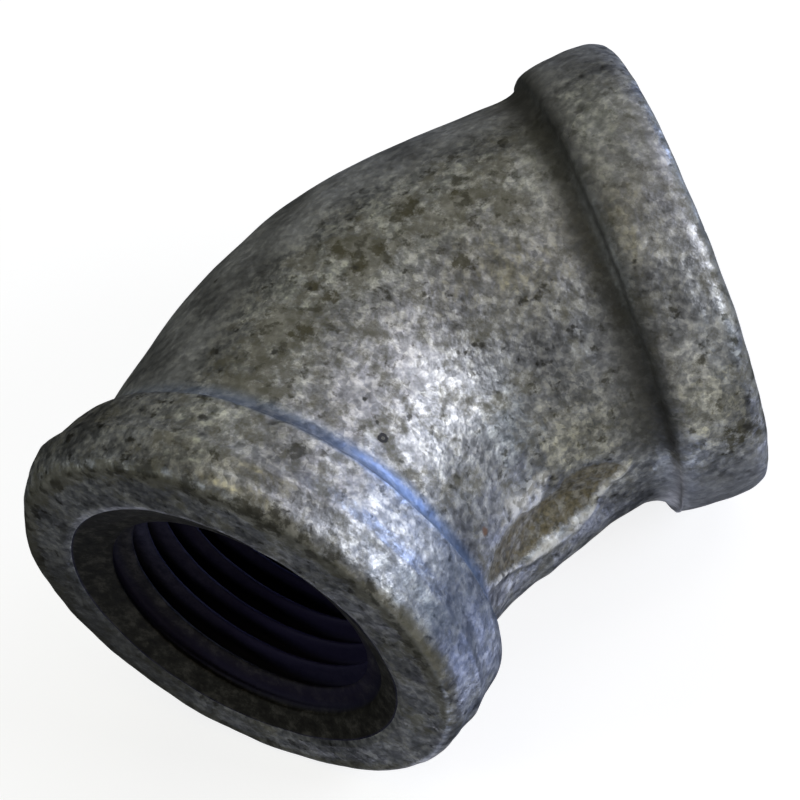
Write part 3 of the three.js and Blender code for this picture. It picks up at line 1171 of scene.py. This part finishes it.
def threaded_bore():
    """Dark oxidised metal, a little blue, with a browner countersink, and painted shade in the thread's
    roots, on the bore's lower side and deep down.
    """
    n = Nodes("threaded_bore")
    place = n.millimetres()
    mottle = n.noise(place, "bore mottle")
    metal = n.ramp(mottle, RAMPS["bore metal"])
    colour = n.mix(n.attribute("sink"), metal, n.ramp(mottle, RAMPS["bore rust"]))
    # Painted shade in the thread's roots
    roots = n.math("MULTIPLY", n.ramp(n.attribute("groove"), RAMPS["root shade"]), ROOT_SHADE_SHARE)
    colour = n.mix(roots, colour, ROOT_SHADE_COLOUR)
    # Painted shade on the bore's lower side, at the first groove and deep down
    colour = n.mix(n.math("MULTIPLY", n.attribute("bore_shade"), BORE_SHADE_SHARE), colour, DEEP_SHADE_COLOUR)
    n.set("Base Color", colour)
    n.set("Metallic", 0.0)
    n.set("Specular IOR Level", BORE_SPECULAR)
    uneven = n.math("MULTIPLY", mottle, BORE_ROUGHNESS_SPREAD)
    n.set("Roughness", n.math("ADD", uneven, BORE_ROUGHNESS))
    n.set("Normal", n.bump(n.noise(place, "bore grain"), *BORE_BUMP))
    return n.material


def floor_paint():
    """Pale paper with a light of its own, weaker near the elbow, so that it and its shadows stay pale."""
    n = Nodes("floor_paint")
    n.set("Base Color", FLOOR_GREY)
    n.set("Roughness", FLOOR_ROUGHNESS)
    n.set("Specular IOR Level", 0.0)
    n.set("Emission Color", WHITE)
    away = n.distance(n.millimetres(), (0.0, 0.0, 0.0))
    n.set("Emission Strength", n.ramp(n.math("DIVIDE", away, FLOOR_FADE), RAMPS["floor"]))
    return n.material


# ------------ stage

def make_floor():
    """The pale floor, which neither lights nor shades the elbow and isn't mirrored in it."""
    sides = ((-1, -1), (1, -1), (1, 1), (-1, 1))
    corners = [(x * FLOOR_HALF, y * FLOOR_HALF, 0) for x, y in sides]
    mesh = bpy.data.meshes.new("floor")
    mesh.from_pydata(corners, [], [(0, 1, 2, 3)])
    mesh.materials.append(floor_paint())
    floor = bpy.data.objects.new("floor", mesh)
    bpy.context.scene.collection.objects.link(floor)
    floor.visible_diffuse = False
    floor.visible_glossy = False
    floor.visible_shadow = False


def make_light(origin, name, azimuth, elevation, power, colour):
    """A square soft light that faces the elbow."""
    turn = math.radians(azimuth)
    rise = math.radians(elevation)
    towards = Vector((math.cos(turn) * math.cos(rise), math.sin(turn) * math.cos(rise), math.sin(rise)))
    light = bpy.data.lights.new(name, "AREA")
    light.size = LIGHT_SIZE * MM
    light.energy = power
    light.color = colour
    lamp = bpy.data.objects.new(name, light)
    lamp.location = Vector(origin) + towards * LIGHT_DISTANCE * MM
    lamp.rotation_euler = towards.to_track_quat("Z", "Y").to_euler()
    bpy.context.scene.collection.objects.link(lamp)


def make_world():
    """A pale backdrop that only the camera sees: it gives the elbow no light."""
    world = bpy.data.worlds.new("studio")
    world.use_nodes = True
    bpy.context.scene.world = world
    tree = world.node_tree
    dark = tree.nodes["Background"]
    dark.inputs["Strength"].default_value = 0.0
    pale = tree.nodes.new("ShaderNodeBackground")
    pale.inputs["Color"].default_value = (*WHITE, 1)
    choose = tree.nodes.new("ShaderNodeMixShader")
    ray = tree.nodes.new("ShaderNodeLightPath")
    tree.links.new(ray.outputs["Is Camera Ray"], choose.inputs[0])
    tree.links.new(dark.outputs[0], choose.inputs[1])
    tree.links.new(pale.outputs[0], choose.inputs[2])
    tree.links.new(choose.outputs[0], tree.nodes["World Output"].inputs["Surface"])


def make_lights(origin):
    """The lights of the table, and the backdrop."""
    for light in LIGHTS:
        make_light(origin, *light)
    make_world()


def make_camera(origin):
    """The camera at the photo's angle, rolled, and aimed a little beside the crossing of the axes."""
    azimuth = math.radians(CAMERA_AZIMUTH)
    elevation = math.radians(CAMERA_ELEVATION)
    back = Vector((
        math.sin(azimuth) * math.cos(elevation),
        -math.cos(azimuth) * math.cos(elevation),
        math.sin(elevation),
    ))
    turn = back.to_track_quat("Z", "Y").to_matrix() @ Matrix.Rotation(math.radians(CAMERA_ROLL), 3, "Z")
    aim = Vector(origin) + turn @ Vector((CAMERA_AIM_RIGHT, CAMERA_AIM_UP, 0)) * MM
    data = bpy.data.cameras.new("camera")
    data.lens = CAMERA_LENS
    data.clip_start = CAMERA_CLIP
    camera = bpy.data.objects.new("camera", data)
    camera.matrix_world = Matrix.Translation(aim + back * CAMERA_DISTANCE * MM) @ turn.to_4x4()
    bpy.context.scene.collection.objects.link(camera)
    bpy.context.scene.camera = camera


# ------------ build

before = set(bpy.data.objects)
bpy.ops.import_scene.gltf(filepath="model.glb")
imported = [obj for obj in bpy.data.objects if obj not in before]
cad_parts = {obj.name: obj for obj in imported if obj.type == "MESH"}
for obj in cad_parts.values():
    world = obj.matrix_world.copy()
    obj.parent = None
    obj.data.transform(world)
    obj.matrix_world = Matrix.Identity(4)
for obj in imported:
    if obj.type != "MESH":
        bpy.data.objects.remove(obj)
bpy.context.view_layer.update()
cad_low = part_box("elbow_casting")[0]
crossing = Vector((
    cad_low[0] + BAND_RADIUS * MM,
    cad_low[1] + CENTRE_TO_END * MM,
    cad_low[2] + BAND_RADIUS * MM,
))

make_camera(crossing)
make_floor()
make_lights(crossing)
casting = make_casting(crossing)
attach(casting, "root")
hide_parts("elbow_casting")
bpy.context.scene.view_settings.view_transform = "Standard"

bpy.context.view_layer.update()
